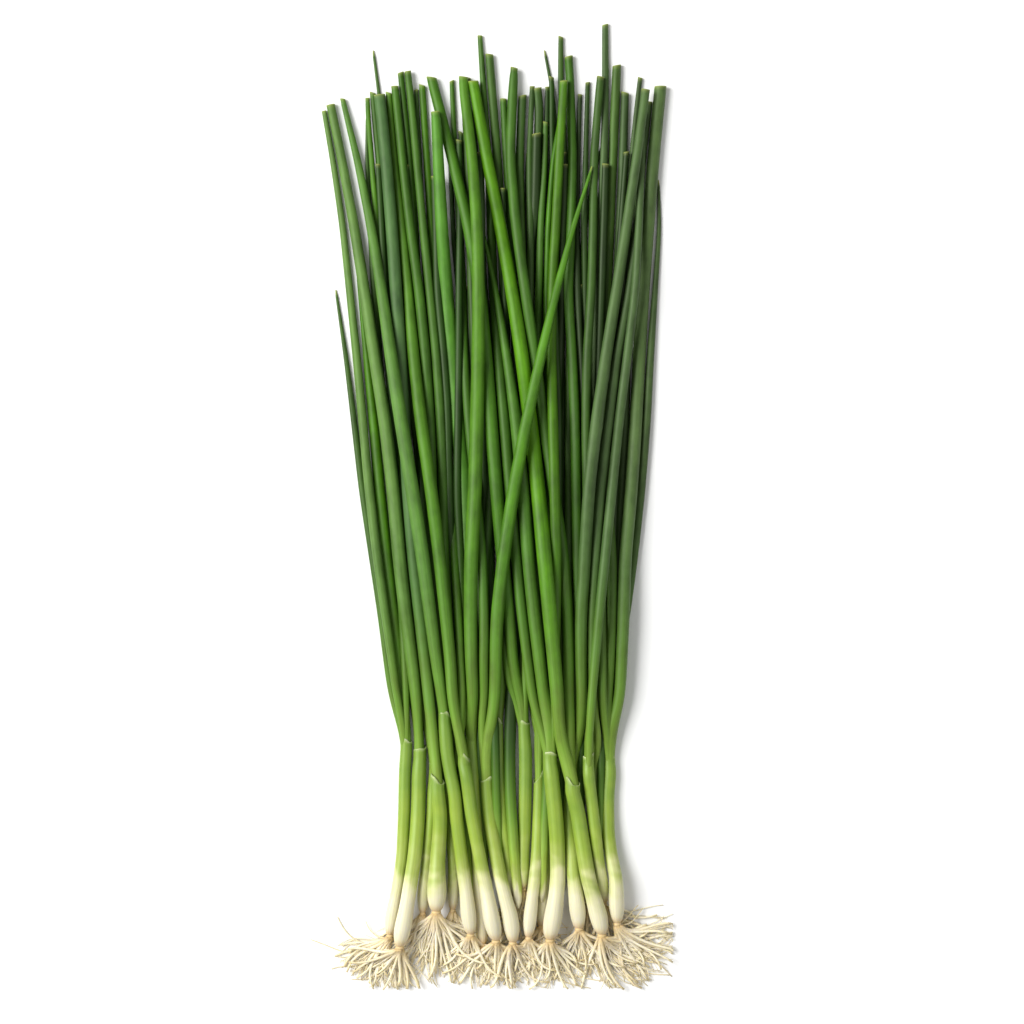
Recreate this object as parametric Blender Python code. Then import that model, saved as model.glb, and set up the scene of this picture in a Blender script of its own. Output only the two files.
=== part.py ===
"""A loose bunch of nineteen young chive plants with their bulbs and roots on, laid flat on its back.

The leaf tips point along +Y, the roots along -Y, and +Z is up. Lengths in the tables are millimetres.
Each plant is one grown thing, held as three solids by colour: green leaves and upper shank,
white bulb and lower shank, and the tan root plate with its roots.
"""

import bmesh
import bpy
import numpy as np
from mathutils import Vector

MM = 0.001

BLADE_SIDES = 6
BULB_SIDES = 8
ROOT_SIDES = 3
BLADE_HEIGHT_RATIO = 0.86
BULB_HEIGHT_RATIO = 0.94
CROSS_REACH = 30.0
LEAST_BLADE = 0.72
CLEARANCE = 0.52
RING_TOLERANCE = 0.12
COLOUR_GAP = 0.3
WHITE_SHANK_LENGTH = 17.0
PLATE_LENGTH = 1.4
ROOT_RADIUS = 0.5
ROOT_TIP_RADIUS = 0.38
ROOT_SLAB = {"back": (0.5, 1.9), "front": (3.1, 4.4)}
ROOTS_PER_PLANT = {"back": 5, "front": 7}
BACK_ROOT_REACH = -7.0
ROOT_MAT_TOP = 3.0
LANE_SPREAD = 0.011
LAYER_HEIGHT = 3.3
HIGHEST = 16.0
RANK_HELD = 22.0
LEAF_ROOTED = 2.0
COLLAR_TAPER = 0.84
RANK_BLEND = 55.0
SETTLING_STEPS = 420
TIGHTENING_STEPS = 260

# Stations along the bunch, where every blade has its bends.
STATIONS = np.array(
    [-2, 4, 10, 16, 22, 29, 36, 43, 50, 57, 64, 72, 81, 92, 108, 128, 150, 172, 194, 216, 238, 260, 282, 306],
    float,
)
BETWEEN = (0.0, 0.25, 0.5, 0.75)

# Each plant: layer, height rank, bulb width, shank width, green tone, then the shank's route as (along, across),
# from the bulb's base to the collar where the leaves part.
PLANTS = {
    "01": ("back", 0.0, 4.6, 3.8, "#4E7F33", [(2.6, -39.3), (11.5, -38), (21.5, -35.6), (31, -34), (41, -32.7), (67, -32)]),
    "02": ("front", 1.0, 5.9, 4.6, "#4C7A33", [(-0.7, -36), (6.6, -35), (15, -33), (25, -31.4), (35, -29.7), (64, -28)]),
    "03": ("back", 0.0, 4.3, 3.6, "#456F3C", [(10, -28.4), (31, -26.8), (61, -25)]),
    "04": ("front", 1.1, 6.6, 4.6, "#3F6E4A", [(11, -23.8), (25, -23.8), (41, -23), (54, -23)]),
    "05": ("back", 0.05, 4.0, 3.4, "#3F7036", [(11, -18.5), (25, -17.5), (35, -19), (54, -19.5)]),
    "06": ("front", 1.0, 5.3, 4.2, "#4B7B3A", [(3.3, -12), (10, -12.5), (28, -15.5), (48, -18), (61, -20), (76, -20.8)]),
    "07": ("back", 0.1, 4.6, 4.0, "#5A8C36", [(-0.3, -8.3), (15, -9.9), (48, -10.2), (61, -12.2), (68.6, -12.9)]),
    "08": ("front", 1.2, 5.9, 4.2, "#568A35", [(1.3, -3.3), (15, -6.3), (28, -9.2), (43, -12.2), (62, -16.5)]),
    "09": ("front", 1.4, 5.6, 4.4, "#47762F", [(0.7, 1.7), (15, -0.3), (28, -3.6), (44.5, -7.3), (54, -7.6)]),
    "10": ("back", 0.0, 3.6, 3.3, "#2F5C26", [(15, 0.6), (31, -0.6), (48, -3), (61, -3.6), (74, -3.6)]),
    "11": ("back", 0.1, 4.6, 4.2, "#5E8F33", [(18, 5.2), (28, 5.6), (54, 6), (64, 6.3), (73, 5.3)]),
    "12": ("front", 1.0, 4.6, 3.8, "#44752F", [(2.3, 6.6), (18, 8), (38, 10), (54.5, 10.2)]),
    "13": ("back", 0.0, 3.8, 3.5, "#3C6A30", [(5.6, 10.6), (18, 11.9), (28, 13.2), (60, 16)]),
    "14": ("front", 1.3, 6.3, 4.9, "#5A8C36", [(1.6, 13.5), (15, 16), (28, 17.5), (43, 15.8), (63, 13.5)]),
    "15": ("front", 0.7, 5.6, 4.2, "#3E6F34", [(5.3, 23.6), (18, 22.4), (31, 20.5), (41, 19.5), (60, 21.4)]),
    "16": ("back", 0.1, 4.4, 3.8, "#3A6B33", [(13, 32), (21.5, 31), (31, 29), (48, 27.4), (62, 26.4)]),
    "17": ("front", 1.5, 6.3, 4.9, "#578B31", [(3.3, 31.5), (18, 28.7), (31, 25.7), (44.5, 23.4), (53.5, 19.8)]),
    "18": ("back", 0.0, 3.8, 3.3, "#33612E", [(14, 26), (28, 28), (41, 29.4), (61, 29.4)]),
    "19": ("front", 1.0, 5.3, 4.2, "#41723A", [(7, 36.2), (20, 34.3), (35, 32.3), (62, 32.3)]),
}

# Each leaf: plant, height rank in the bunch, tip ("cut" or "point"), width at the tip, full width,
# then its route as (along, across) from above the collar to the tip.
LEAVES = [
    ("01", 1.0, "point", 0.8, 2.7, [(87.5, -37.6), (114, -42), (134, -45), (153.5, -48), (180, -51), (216.5, -57)]),
    ("01", 1.1, "cut", 1.6, 3.0, [(78, -34), (101, -37), (127, -41.6), (153.5, -45), (213, -52), (246, -55), (276, -60.7)]),
    ("01", 1.2, "point", 0.8, 3.9, [(101, -35), (134, -39.6), (153.5, -43), (180, -45), (206, -48.5), (223, -50)]),
    ("02", 2.0, "cut", 2.7, 4.3, [(81, -28.7), (101, -31.7), (120, -34.3), (180, -40.6), (213, -46.9), (246, -52), (278, -59)]),
    ("02", 0.1, "point", 0.8, 2.7, [(100, -33), (150, -39), (213, -43), (246, -44.6), (259, -47.5), (275, -47)]),
    ("03", 0.2, "cut", 1.4, 2.8, [(100, -28), (150, -35.5), (200, -41), (240, -43), (266, -45), (279.5, -46.5)]),
    ("03", 0.9, "cut", 2.0, 3.3, [(110, -28), (150, -33), (193, -37), (219, -40), (252, -43), (282, -45)]),
    ("04", 1.5, "cut", 3.6, 4.0, [(87.5, -26.7), (134, -32.7), (163, -33.7), (206, -36), (246, -39), (280.5, -42.6)]),
    ("04", 0.3, "point", 0.8, 2.6, [(100, -25.5), (150, -30), (206, -34.5), (246, -38), (285, -43), (296, -44.6)]),
    ("06", 2.4, "cut", 1.8, 4.3, [(101, -24.8), (134, -28.7), (167, -34.3), (193, -38.3), (233, -44), (257, -48.8), (280, -54.8)]),
    ("06", 0.8, "cut", 2.4, 3.4, [(90, -21), (120, -22.5), (160, -24.5), (193, -26.4), (219, -30), (246, -33.3), (284, -37.6)]),
    ("08", 2.1, "cut", 2.0, 4.0, [(87.5, -17.8), (134, -22.8), (167, -26.7), (193, -30.4), (233, -35.3), (257, -38.3), (282, -39)]),
    ("08", 1.3, "cut", 2.2, 3.0, [(100, -17.3), (140, -20), (167, -22.8), (213, -25.7), (246, -29), (289, -33.7)]),
    ("08", 0.7, "cut", 2.0, 2.8, [(100, -16), (140, -18), (180, -22), (220, -25), (252, -26.4), (284.5, -28.7)]),
    ("05", 0.6, "cut", 2.0, 2.8, [(100, -20.5), (150, -24), (200, -28), (246, -31.4), (288.7, -35.6)]),
    ("05", 0.15, "cut", 1.4, 2.6, [(100, -20), (150, -22.5), (200, -26.5), (246, -29), (283, -30.4)]),
    ("07", 2.2, "cut", 3.0, 4.4, [(87.5, -12.2), (127, -11.2), (167, -9.9), (200, -9.2), (246, -9.9), (272, -12.9), (287, -14.9)]),
    ("07", 2.05, "cut", 3.2, 4.9, [(81, -14.9), (134, -15.8), (167, -17.8), (200, -19.8), (226, -21.5), (252, -23), (275, -23.8)]),
    ("07", 0.95, "cut", 1.5, 2.7, [(87.5, -9.2), (124, -7.6), (157, -5), (186, -4), (213, -7.6), (246, -8.9), (287, -12.9)]),
    ("09", 3.6, "point", 0.8, 4.0, [(87.5, -6.6), (114, -4.3), (140, -0.3), (167, 4.3), (200, 12.2), (233, 19.5), (257, 27.7)]),
    ("09", 1.05, "cut", 1.5, 3.0, [(80, -7.5), (110, -8), (140, -9.5), (167, -11.9), (200, -13.5), (239, -15.5), (286, -18.5)]),
    ("09", 0.35, "cut", 2.3, 3.0, [(100, -7), (150, -9), (200, -11.5), (240, -13), (275.5, -14.5)]),
    ("10", 0.05, "cut", 1.6, 2.8, [(100, -4), (150, -6.5), (200, -10), (240, -14), (269, -15.5)]),
    ("10", 0.45, "cut", 2.6, 3.1, [(100, -3), (150, -1.5), (200, -1), (240, -2), (279, -5), (294.7, -6.3)]),
    ("10", 0.25, "cut", 2.0, 2.9, [(87.5, -3.3), (120, -2), (150, 0), (180, 2), (210, 4), (262, 8)]),
    ("11", 1.6, "cut", 3.3, 4.1, [(101, 1.6), (134, -1.6), (160, -3.3), (186, -5.3), (213, -7.9), (247.5, -13.9), (272, -22.4), (287, -25.7)]),
    ("11", 0.12, "cut", 2.2, 2.8, [(100, 4.5), (150, 2.5), (200, 1.5), (240, 0), (280, -1.6)]),
    ("11", 0.55, "cut", 2.6, 3.0, [(100, 6), (140, 6), (180, 6), (220, 5.5), (252, 4), (266, 2.6), (281, 4.3)]),
    ("12", 0.65, "cut", 1.6, 2.8, [(100, 10), (140, 9), (180, 8.5), (220, 7.5), (262, 6.6), (284, 8.6)]),
    ("12", 0.22, "cut", 2.8, 3.2, [(100, 11.5), (150, 12), (200, 11), (246, 9.6), (283, 10.9)]),
    ("12", 1.15, "cut", 1.6, 2.7, [(110, 10), (160, 9), (198, 8.9), (219, 9.9), (239, 11.2), (272, 11.9)]),
    ("13", 0.28, "cut", 1.4, 2.7, [(100, 15.5), (150, 16), (200, 15), (240, 14), (284, 13.2)]),
    ("13", 0.08, "point", 0.8, 2.8, [(100, 17), (150, 18), (200, 18), (240, 17.5), (282, 16.8), (296, 12.9)]),
    ("13", 0.98, "cut", 1.4, 2.6, [(100, 15), (150, 14.5), (200, 13), (246, 12.9), (262, 13.7), (272, 16.2)]),
    ("14", 2.0, "point", 0.8, 4.2, [(81, 12.5), (101, 9.2), (114, 7.6), (157, 3.6), (186, 1), (213, -3.3), (236, -8.3)]),
    ("14", 1.2, "cut", 1.6, 3.5, [(81, 7.9), (101, 5.6), (137, 1), (160, -0.7), (180, -2.6), (246, -5), (269, -6.6), (301, -9.2)]),
    ("14", 1.7, "cut", 2.6, 3.2, [(90, 15), (120, 16), (150, 15), (180, 13.5), (213, 13.9), (246, 15.8), (285.5, 18.5)]),
    ("17", 2.7, "cut", 3.4, 4.6, [(81, 16.8), (114, 13.5), (153.5, 10.2), (180, 7.6), (213, 2.6), (239, -2.6), (262, -7.9), (285.5, -12.2)]),
    ("17", 1.25, "cut", 3.0, 3.6, [(90, 19.5), (114, 18.5), (140, 16.2), (180, 10.6), (219, 4.6), (246, 1.3), (262, -1.5), (290, 2)]),
    ("17", 0.18, "cut", 1.6, 2.8, [(100, 19), (150, 18.5), (200, 17), (240, 15.5), (287, 14.2)]),
    ("15", 2.3, "cut", 2.7, 4.0, [(87.5, 23.5), (127, 24.4), (153.5, 26), (180, 29.7), (219, 36.3), (252, 41.6), (282.5, 45.5)]),
    ("15", 0.52, "cut", 1.6, 2.7, [(100, 21), (150, 20.5), (200, 19.5), (240, 17.5), (275.5, 16.2), (300.6, 17.8)]),
    ("15", 0.62, "cut", 2.6, 3.1, [(100, 21.5), (140, 21), (180, 21), (220, 21), (272, 21.5), (294, 19.8)]),
    ("15", 0.02, "point", 0.8, 2.7, [(100, 22), (150, 22.5), (200, 23), (240, 24.5), (255, 26.4), (269.6, 32)]),
    ("16", 2.0, "cut", 2.0, 3.2, [(81, 27.4), (107, 29.7), (140, 32), (180, 36.6), (213, 41), (246, 44), (275, 44.5)]),
    ("16", 1.1, "cut", 2.5, 2.9, [(100, 26), (140, 25), (180, 25), (213, 25.7), (246, 27), (266, 28), (287, 30.4)]),
    ("16", 0.16, "cut", 1.4, 2.6, [(100, 25.5), (150, 24), (200, 24), (240, 25), (285.5, 26.4)]),
    ("16", 0.32, "cut", 2.5, 3.0, [(100, 33), (140, 34), (180, 35.5), (220, 37), (266, 38), (282, 38.6)]),
    ("18", 1.0, "cut", 1.5, 3.0, [(81, 30.7), (107, 33.3), (150, 35.5), (180, 37), (213, 38), (262, 40), (287, 43.6)]),
    ("18", 1.3, "cut", 2.2, 3.1, [(90, 29.3), (120, 29.5), (153.5, 31), (186, 35.3), (219, 40), (246, 43.6), (279, 47.5)]),
    ("18", 0.42, "cut", 1.4, 2.6, [(100, 29), (150, 26), (200, 23), (252, 22.4), (281.5, 23.8)]),
    ("19", 2.1, "cut", 3.8, 4.1, [(90, 33.5), (127, 37.6), (153.5, 40.3), (180, 42.9), (213, 44.6), (246, 46.9), (284, 50)]),
    ("19", 1.0, "point", 0.8, 3.1, [(87.5, 35.3), (114, 39), (134, 42.2), (180, 45.2), (213, 48.2), (236, 50.2), (253, 49.2)]),
    ("19", 0.85, "cut", 2.8, 3.1, [(90, 32.3), (120, 32.5), (160, 33), (200, 33.5), (233, 35), (272, 35.6), (291, 36.3)]),
    ("19", 0.48, "cut", 2.0, 2.9, [(100, 31.5), (150, 30), (200, 30), (246, 32.3), (285.5, 33), (304.6, 32.3)]),
]

# Long stray roots that leave the mat at its two ends, as (along, across, up).
STRAY_ROOTS = {
    "01": [
        [(1.8, -39.4, 1.9), (-5, -44.5, 0.9), (-4, -54, 0.5), (0.3, -61, 0.5), (1, -66, 0.5)],
        [(1.8, -39.6, 1.9), (-0.5, -45, 1.2), (0.5, -51, 0.8), (8, -56.4, 0.8)],
    ],
    "19": [
        [(6, 36.4, 5.2), (0, 42, 3.6), (-6.5, 49, 2.2), (-10, 55, 1.4)],
        [(6, 36.7, 5.2), (8.5, 41.5, 4.4), (3.5, 48.5, 3.4), (-1.8, 51.4, 2.8)],
    ],
}

PLATE_COLOUR = "#D9C08E"
BULB_COLOUR = "#EEEAD8"


def linear(hex_colour):
    """The linear RGB of an sRGB hex colour, with alpha."""
    parts = [int(hex_colour[i : i + 2], 16) / 255 for i in (1, 3, 5)]
    return [c / 12.92 if c <= 0.04045 else ((c + 0.055) / 1.055) ** 2.4 for c in parts] + [1.0]


def new_material(name, colour, roughness):
    material = bpy.data.materials.new(name)
    material.use_nodes = True
    shader = material.node_tree.nodes["Principled BSDF"]
    shader.inputs["Base Color"].default_value = linear(colour)
    shader.inputs["Roughness"].default_value = roughness
    shader.inputs["Metallic"].default_value = 0.0
    material.diffuse_color = linear(colour)
    return material


def route_at(route, along):
    """Across at each value of along, on a route given from its start to its end."""
    ys = [p[0] for p in route]
    xs = [p[1] for p in route]
    inside = np.interp(along, ys, xs)
    slope = (xs[-1] - xs[-2]) / (ys[-1] - ys[-2])
    return np.where(along > ys[-1], xs[-1] + slope * (along - ys[-1]), inside)


def shank_radius(plant, along):
    """A bulb swells just above its base, then narrows to the shank."""
    _, _, bulb, shank, _, route = PLANTS[plant]
    up = [-0.5, 0.0, 2.0, 4.5, 7.5, 12.0, 20.0, 60.0]
    share = [0.5, 0.5, 0.8, 0.97, 1.0, 0.86, None, None]
    widths = [bulb * s if s else shank for s in share]
    return np.interp(along - route[0][0], up, widths) / 2


def leaf_radius(leaf, along):
    """A blade widens from its collar, stays full to the middle, then tapers to its tip."""
    plant, _, tip, tip_width, full, route = leaf
    start = PLANTS[plant][5][-1][0]
    end = route[-1][0]
    s = np.clip((along - start) / (end - start), 0, 1)
    widening = 0.8 + 0.2 * np.clip(s / 0.25, 0, 1)
    taper = np.clip((s - 0.45) / 0.55, 0, 1)
    power = 1.25 if tip == "cut" else 1.7
    width = full * widening * (1 - taper**power) + tip_width * taper**power
    return np.maximum(width, LEAST_BLADE) / 2


class Strands:
    """The centre lines of every shank and leaf, settled so that none cuts another."""

    def __init__(self):
        names = list(PLANTS)
        self.count = len(names) + len(LEAVES)
        self.plant = np.array([names.index(p) for p in names] + [names.index(l[0]) for l in LEAVES])
        self.is_leaf = np.array([False] * len(names) + [True] * len(LEAVES))
        self.collar = np.array([PLANTS[p][5][-1][0] for p in names])
        self.fork = np.searchsorted(STATIONS, self.collar - 2.0) - 1
        self.start = np.empty(self.count)
        self.end = np.empty(self.count)
        self.rank = np.empty((self.count, len(STATIONS)))
        self.aim = np.empty((self.count, len(STATIONS)))
        self.floor_lift = np.zeros((self.count, len(STATIONS)))
        for i, name in enumerate(names):
            layer, rank, _, _, _, route = PLANTS[name]
            self.start[i] = route[0][0] - 1
            self.end[i] = route[-1][0]
            self.rank[i] = rank + 0.001 * i
            self.aim[i] = route_at(route, STATIONS)
            if layer == "front":
                lift = (45 - STATIONS) / 25
                self.floor_lift[i] = ROOT_MAT_TOP * np.clip(lift, 0, 1)
        for j, leaf in enumerate(LEAVES):
            i = len(names) + j
            p = self.plant[i]
            route = [(self.collar[p], PLANTS[names[p]][5][-1][1])] + leaf[5]
            self.start[i] = self.collar[p]
            self.end[i] = leaf[5][-1][0]
            blend = np.clip((STATIONS - self.collar[p] - RANK_HELD) / RANK_BLEND, 0, 1)
            self.rank[i] = self.rank[p] * (1 - blend) + leaf[1] * blend + 0.0001 * (j % 7) + 0.01 * leaf[1]
            self.aim[i] = route_at(route, STATIONS)
            below = STATIONS <= STATIONS[self.fork[p]]
            self.aim[i, below] = self.aim[p, below]
        self.x = self.smoothed_aim()
        self.z = self.rank * LAYER_HEIGHT + 2.0

    def smoothed_aim(self):
        """The routes with their corners eased."""
        span = (STATIONS[1:-1] - STATIONS[:-2]) / (STATIONS[2:] - STATIONS[:-2])
        x = self.aim.copy()
        for _ in range(3):
            middle = x[:, :-2] * (1 - span) + x[:, 2:] * span
            x[:, 1:-1] += 0.25 * (middle - x[:, 1:-1])
        self.aim = x.copy()
        return x

    def radius(self, i, along):
        if self.is_leaf[i]:
            return leaf_radius(LEAVES[i - len(PLANTS)], along)
        return shank_radius(list(PLANTS)[i], along)

    def prepare(self):
        """Which pairs come near each other, how they meet, and every radius at the places tested."""
        n = self.count
        first, second = np.triu_indices(n, 1)
        same = self.plant[first] == self.plant[second]
        near = np.abs(self.aim[first] - self.aim[second]).min(axis=1) < 7
        own_shank = same & (~self.is_leaf[first] | ~self.is_leaf[second])
        keep = near & ~own_shank
        self.first, self.second, self.same = first[keep], second[keep], same[keep]
        both = (STATIONS >= np.maximum(self.start[self.first], self.start[self.second])[:, None] - 8) & (
            STATIONS <= np.minimum(self.end[self.first], self.end[self.second])[:, None] + 20
        )
        side = np.sign(self.aim[self.first] - self.aim[self.second])
        right = ((side > 0) & both).any(axis=1)
        left = ((side < 0) & both).any(axis=1)
        self.crosses = right & left & ~self.same
        swap = (side[:, 1:] * side[:, :-1] < 0) & both[:, 1:]
        over = self.rank[self.first] - self.rank[self.second]
        at_swap = np.where(swap, over[:, 1:], 0).sum(axis=1)
        self.above = np.sign(np.where(self.crosses, at_swap, 1.0))[:, None]
        swap_at = np.where(swap, (STATIONS[1:] + STATIONS[:-1]) / 2, -1000.0)
        pairs = len(self.first)
        self.spread = np.zeros((n, pairs))
        self.spread[self.first, np.arange(pairs)] = 1
        self.spread[self.second, np.arange(pairs)] = -1
        self.step = np.append(np.diff(STATIONS), 1.0)
        self.tests = []
        widest = [
            np.max([self.radius(i, STATIONS + d) for d in ((0,) if self.is_leaf[i] else (-6, -3, 0, 3, 6))], axis=0)
            for i in range(n)
        ]
        self.floor = np.array(widest) * np.where(self.is_leaf, BLADE_HEIGHT_RATIO, BULB_HEIGHT_RATIO)[:, None]
        self.floor += self.floor_lift
        for t in BETWEEN:
            along = STATIONS + t * self.step
            radii = np.array([self.radius(i, along) for i in range(n)])
            present = (along >= self.start[:, None]) & (along <= self.end[:, None] + 0.5)
            need = radii[self.first] + radii[self.second] + CLEARANCE
            meet = present[self.first] & present[self.second]
            apart = along > self.collar[self.plant[self.first]][:, None] + 16
            meet &= ~self.same[:, None] | apart
            near_swap = (np.abs(along[None, :, None] - swap_at[:, None, :]) < CROSS_REACH).any(axis=2)
            over = self.crosses[:, None] & near_swap
            self.tests.append((t, need, meet & over, meet & ~over))

    def push_apart(self, strength):
        """One pass that moves overlapping strands away from each other. It returns the deepest overlap."""
        worst = 0.0
        above = self.above
        for t, need, stacked, beside in self.tests:
            next_x = np.roll(self.x, -1, axis=1)
            next_z = np.roll(self.z, -1, axis=1)
            at_x = self.x * (1 - t) + next_x * t
            at_z = self.z * (1 - t) + next_z * t
            dx = at_x[self.first] - at_x[self.second]
            dz = at_z[self.first] - at_z[self.second]
            flat = np.sqrt(np.maximum(need**2 - dx**2, 0))
            lift = np.where(stacked, np.maximum(flat - dz * above, 0), 0)
            distance = np.sqrt(dx**2 + dz**2) + 1e-6
            short = np.where(beside, np.maximum(need - distance, 0), 0)
            worst = max(worst, short.max(), np.minimum(lift, need - distance).max())
            move_x = strength * 0.5 * short * dx / distance
            move_z = strength * 0.5 * (short * dz / distance + lift * above)
            total_x = self.spread @ move_x
            total_z = self.spread @ move_z
            norm = (1 - t) ** 2 + t**2
            self.x += total_x * (1 - t) / norm
            self.z += total_z * (1 - t) / norm
            if t:
                self.x[:, 1:] += total_x[:, :-1] * t / norm
                self.z[:, 1:] += total_z[:, :-1] * t / norm
        return worst

    def hold(self):
        """Nothing sinks below the surface, and each leaf grows out of its own shank."""
        for p in range(len(PLANTS)):
            own = np.flatnonzero((self.plant == p) & self.is_leaf)
            last = self.fork[p] + 1
            self.x[p, :last] += 0.5 * (self.x[own][:, :last] - self.x[p, :last]).mean(axis=0)
            self.z[p, :last] += 0.5 * (self.z[own][:, :last] - self.z[p, :last]).mean(axis=0)
        self.z = np.clip(self.z, self.floor, HIGHEST)
        for i in np.flatnonzero(self.is_leaf):
            p = self.plant[i]
            last = self.fork[p] + 1
            self.x[i, :last] = self.x[p, :last]
            self.z[i, :last] = self.z[p, :last]
        for p in range(len(PLANTS)):
            own = np.flatnonzero((self.plant == p) & self.is_leaf)
            last = self.fork[p] + 1
            self.x[p, last:] = self.x[own][:, last:].mean(axis=0)
            self.z[p, last:] = np.maximum(self.z[own][:, last:].mean(axis=0), self.floor[p, last:])
        self.x = np.round(self.x, 5)
        self.z = np.round(self.z, 5)

    def settle(self):
        span = (STATIONS[1:-1] - STATIONS[:-2]) / (STATIONS[2:] - STATIONS[:-2])
        for step in range(SETTLING_STEPS + TIGHTENING_STEPS):
            loose = step < SETTLING_STEPS
            ease = 0.12 if loose else 0.0
            drift = self.x - self.aim
            even = drift[:, :-2] * (1 - span) + drift[:, 2:] * span
            self.x[:, 1:-1] += ease * (even - drift[:, 1:-1])
            self.x -= (0.03 if loose else 0.0) * drift
            level = self.z[:, :-2] * (1 - span) + self.z[:, 2:] * span
            self.z[:, 1:-1] += ease * (level - self.z[:, 1:-1])
            self.z -= 0.05 if loose else 0.0
            worst = self.push_apart(0.3)
            self.hold()
        resting = np.abs(self.z - self.floor) < 0.08
        self.z = np.where(resting & (self.floor_lift == 0), self.floor, self.z)
        return worst

    def place(self, i, along):
        return np.interp(along, STATIONS, self.x[i]), np.interp(along, STATIONS, self.z[i])


def kept_rings(values, tolerance):
    """The rows of a polyline that keep it within a tolerance of the full one."""
    keep = {0, len(values) - 1}
    spans = [(0, len(values) - 1)]
    while spans:
        a, b = spans.pop()
        if b - a < 2:
            continue
        share = (values[a + 1 : b, 0] - values[a, 0]) / (values[b, 0] - values[a, 0])
        straight = values[a, 1:] + share[:, None] * (values[b, 1:] - values[a, 1:])
        miss = np.abs(values[a + 1 : b, 1:] - straight).max(axis=1)
        if miss.max() > tolerance:
            middle = a + 1 + int(miss.argmax())
            keep.add(middle)
            spans += [(a, middle), (middle, b)]
    return sorted(keep)


def section(sides, along, across, up, radius, height_ratio, slant=0.0):
    """One ring of a tube that runs along Y, with a flat side below, never under the surface."""
    up = max(up, radius * height_ratio)
    turn = 2 * np.pi * np.arange(sides) / sides - np.pi / 2 + np.pi / sides
    flat = np.cos(np.pi / sides)
    xs = radius * np.cos(turn)
    zs = radius * np.sin(turn) * height_ratio / flat
    return [Vector((across + a, along + slant * a, up + b)) * MM for a, b in zip(xs, zs)]


def loft(name, rings):
    """A closed solid through the rings: the first ring's face, extruded on to each next ring."""
    bm = bmesh.new()
    sides = len(rings[0])
    bmesh.ops.create_circle(bm, cap_ends=True, segments=sides, radius=1.0)
    bm.faces.ensure_lookup_table()
    face = bm.faces[0]
    order = list(face.verts)
    for vert, place in zip(order, rings[0]):
        vert.co = place
    for k, ring in enumerate(rings[1:]):
        grown = bmesh.ops.extrude_face_region(bm, geom=[face])
        if k > 0:
            bm.faces.remove(face)
        face = [g for g in grown["geom"] if isinstance(g, bmesh.types.BMFace)][0]
        fresh = set(face.verts)
        order = [next(e.other_vert(v) for e in v.link_edges if e.other_vert(v) in fresh) for v in order]
        for vert, place in zip(order, ring):
            vert.co = place
    bmesh.ops.recalc_face_normals(bm, faces=bm.faces[:])
    mesh = bpy.data.meshes.new(name)
    bm.to_mesh(mesh)
    bm.free()
    mesh.shade_smooth()
    mesh.set_sharp_from_angle(angle=0.9)
    obj = bpy.data.objects.new(name, mesh)
    bpy.context.scene.collection.objects.link(obj)
    return obj


def joined(name, pieces):
    """The pieces of one plant part as one solid."""
    body = pieces[0]
    body.name = name
    if len(pieces) > 1:
        tools = bpy.data.collections.new(name + "_pieces")
        for piece in pieces[1:]:
            tools.objects.link(piece)
        union = body.modifiers.new("grow_together", "BOOLEAN")
        union.operation = "UNION"
        union.operand_type = "COLLECTION"
        union.collection = tools
        union.solver = "EXACT"
        bpy.context.view_layer.update()
        graph = bpy.context.evaluated_depsgraph_get()
        fused = bpy.data.meshes.new_from_object(body.evaluated_get(graph))
        body.modifiers.clear()
        body.data = fused
        for piece in pieces[1:]:
            bpy.data.objects.remove(piece, do_unlink=True)
        bpy.data.collections.remove(tools)
    return body


def leaf_rings(strands, i):
    leaf = LEAVES[i - len(PLANTS)]
    end = strands.end[i]
    root = strands.plant[i]
    begin = strands.collar[root] - LEAF_ROOTED
    inner = STATIONS[(STATIONS > strands.collar[root]) & (STATIONS < end - 4)]
    along = np.concatenate([[begin], inner, [end]])
    across, up = strands.place(i, along)
    across[0], up[0] = strands.place(root, begin)
    radius = leaf_radius(leaf, along)
    rows = np.column_stack([along, across, up, radius])
    chosen = kept_rings(rows, RING_TOLERANCE)
    slant = 0.35 * np.sin(2.4 * i) if leaf[2] == "cut" else 0.0
    rings = []
    for k in chosen:
        y, x, z, r = rows[k]
        tilt = slant if k == len(rows) - 1 else 0.0
        scale = 0.7 if k == 0 else 1.0
        rings.append(section(BLADE_SIDES, y, x, z, r * scale, BLADE_HEIGHT_RATIO, tilt))
    return rings


def shank_rings(strands, i, begin, end, sides):
    name = list(PLANTS)[i]
    base = PLANTS[name][5][0][0]
    own = base + np.array([0.0, 2.0, 4.5, 7.5, 12.0])
    inner = np.concatenate([own, STATIONS])
    inner = np.unique(inner[(inner > begin + 1) & (inner < end - 1.5)])
    along = np.concatenate([[begin], inner, [end]])
    across, up = strands.place(i, along)
    radius = shank_radius(name, along)
    if sides == BLADE_SIDES:
        radius[-1] *= COLLAR_TAPER
    rows = np.column_stack([along, across, up, radius])
    chosen = kept_rings(rows, RING_TOLERANCE)
    return [section(sides, *rows[k][:3], rows[k][3], BULB_HEIGHT_RATIO if sides == BULB_SIDES else BLADE_HEIGHT_RATIO) for k in chosen]


def lanes():
    """The strip of surface that each plant's roots keep to: its edges where the bulbs end."""
    found = {}
    for layer in ("back", "front"):
        row = sorted((PLANTS[p][5][0][1], p) for p in PLANTS if PLANTS[p][0] == layer)
        xs = [x for x, _ in row]
        middles = [(a + b) / 2 for a, b in zip(xs, xs[1:])]
        edges = [xs[0] - 5.5] + middles + [xs[-1] + 5.5]
        for (x, name), left, right in zip(row, edges, edges[1:]):
            found[name] = (left, right)
    return found


def lane_edge(edge, along):
    """Lanes spread as they leave the bulbs."""
    return edge * (1 + LANE_SPREAD * np.clip(8 - along, 0, 30))


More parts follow.
